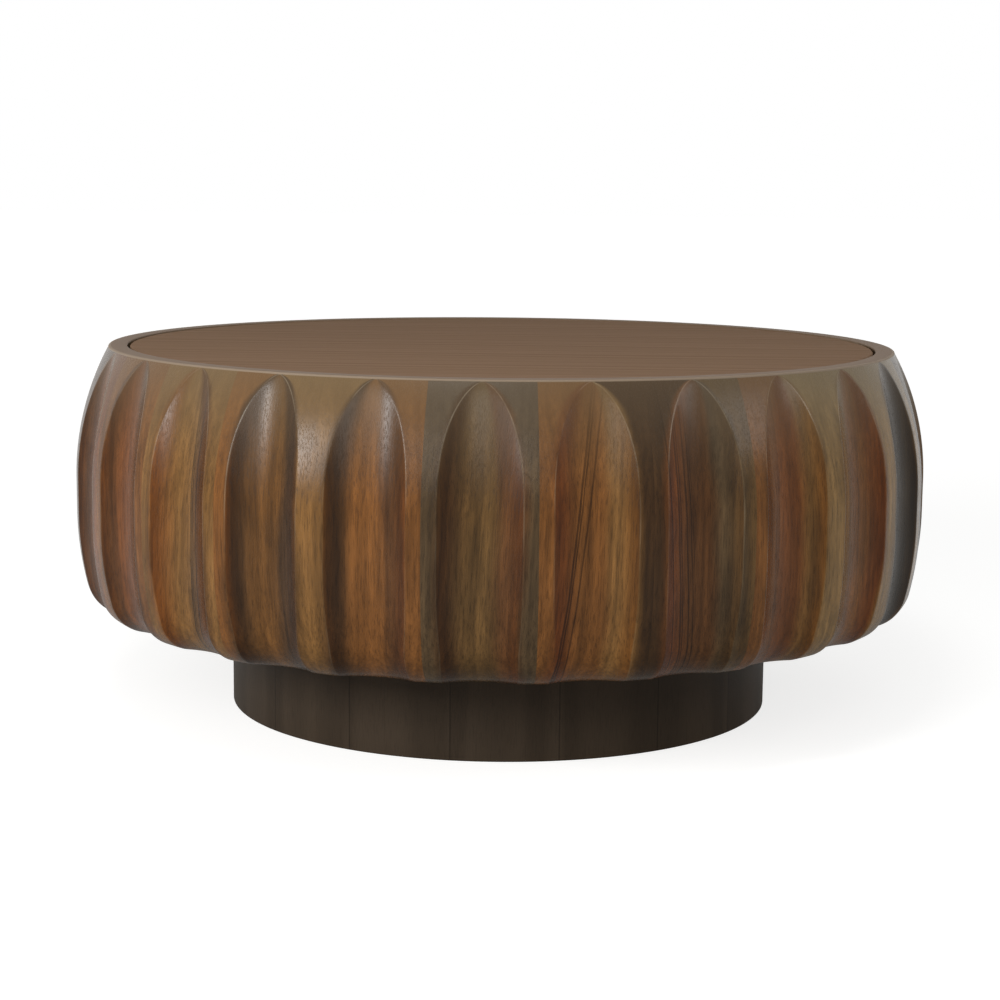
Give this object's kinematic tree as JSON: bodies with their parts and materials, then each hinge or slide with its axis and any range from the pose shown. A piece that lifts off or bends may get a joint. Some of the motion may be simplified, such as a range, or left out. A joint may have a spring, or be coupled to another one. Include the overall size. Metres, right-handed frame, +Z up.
{
  "type": "drum coffee table",
  "caption": "Low round drum table of fluted solid-wood staves around an inset board top, on a smaller dark staved plinth.",
  "frame": {"origin": "centre of the table on the floor, at the foot of the plinth's axis", "axes": "+Z up; -Y through the middle of one flute; the grain of the top boards runs along X"},
  "size_m": [1.0156, 1.0141, 0.432],
  "materials": {
    "stave_wood": "solid hardwood stained walnut brown, satin lacquer, strong change of colour from stave to stave",
    "top_wood": "solid hardwood boards stained mid brown, satin lacquer",
    "batten_wood": "plain unfinished hardwood",
    "plinth_wood": "hardwood stained near black brown, satin lacquer",
    "ring_plywood": "birch plywood, sanded, unfinished",
    "head_plywood": "birch plywood, sealed",
    "screw_steel": "zinc-plated steel"
  },
  "bodies": {
    "root": {"batten_screws": "screw_steel", "bottom_head": "head_plywood", "plinth_ring": "ring_plywood", "plinth_segment_01": "plinth_wood", "plinth_segment_02": "plinth_wood", "plinth_segment_03": "plinth_wood", "plinth_segment_04": "plinth_wood", "plinth_segment_05": "plinth_wood", "plinth_segment_06": "plinth_wood", "plinth_segment_07": "plinth_wood", "plinth_segment_08": "plinth_wood", "plinth_segment_09": "plinth_wood", "plinth_segment_10": "plinth_wood", "plinth_segment_11": "plinth_wood", "plinth_segment_12": "plinth_wood", "plinth_segment_13": "plinth_wood", "plinth_segment_14": "plinth_wood", "plinth_segment_15": "plinth_wood", "plinth_segment_16": "plinth_wood", "plinth_segment_17": "plinth_wood", "ring_screws": "screw_steel", "stave_01": "stave_wood", "stave_02": "stave_wood", "stave_03": "stave_wood", "stave_04": "stave_wood", "stave_05": "stave_wood", "stave_06": "stave_wood", "stave_07": "stave_wood", "stave_08": "stave_wood", "stave_09": "stave_wood", "stave_10": "stave_wood", "stave_11": "stave_wood", "stave_12": "stave_wood", "stave_13": "stave_wood", "stave_14": "stave_wood", "stave_15": "stave_wood", "stave_16": "stave_wood", "stave_17": "stave_wood", "stave_18": "stave_wood", "stave_19": "stave_wood", "stave_20": "stave_wood", "stave_21": "stave_wood", "stave_22": "stave_wood", "stave_23": "stave_wood", "stave_24": "stave_wood", "stave_25": "stave_wood", "stave_26": "stave_wood", "stave_27": "stave_wood", "top_batten_1": "batten_wood", "top_batten_2": "batten_wood", "top_batten_3": "batten_wood", "top_board_1": "top_wood", "top_board_2": "top_wood", "top_board_3": "top_wood", "top_board_4": "top_wood", "top_board_5": "top_wood", "top_board_6": "top_wood"}
  },
  "joints": []
}
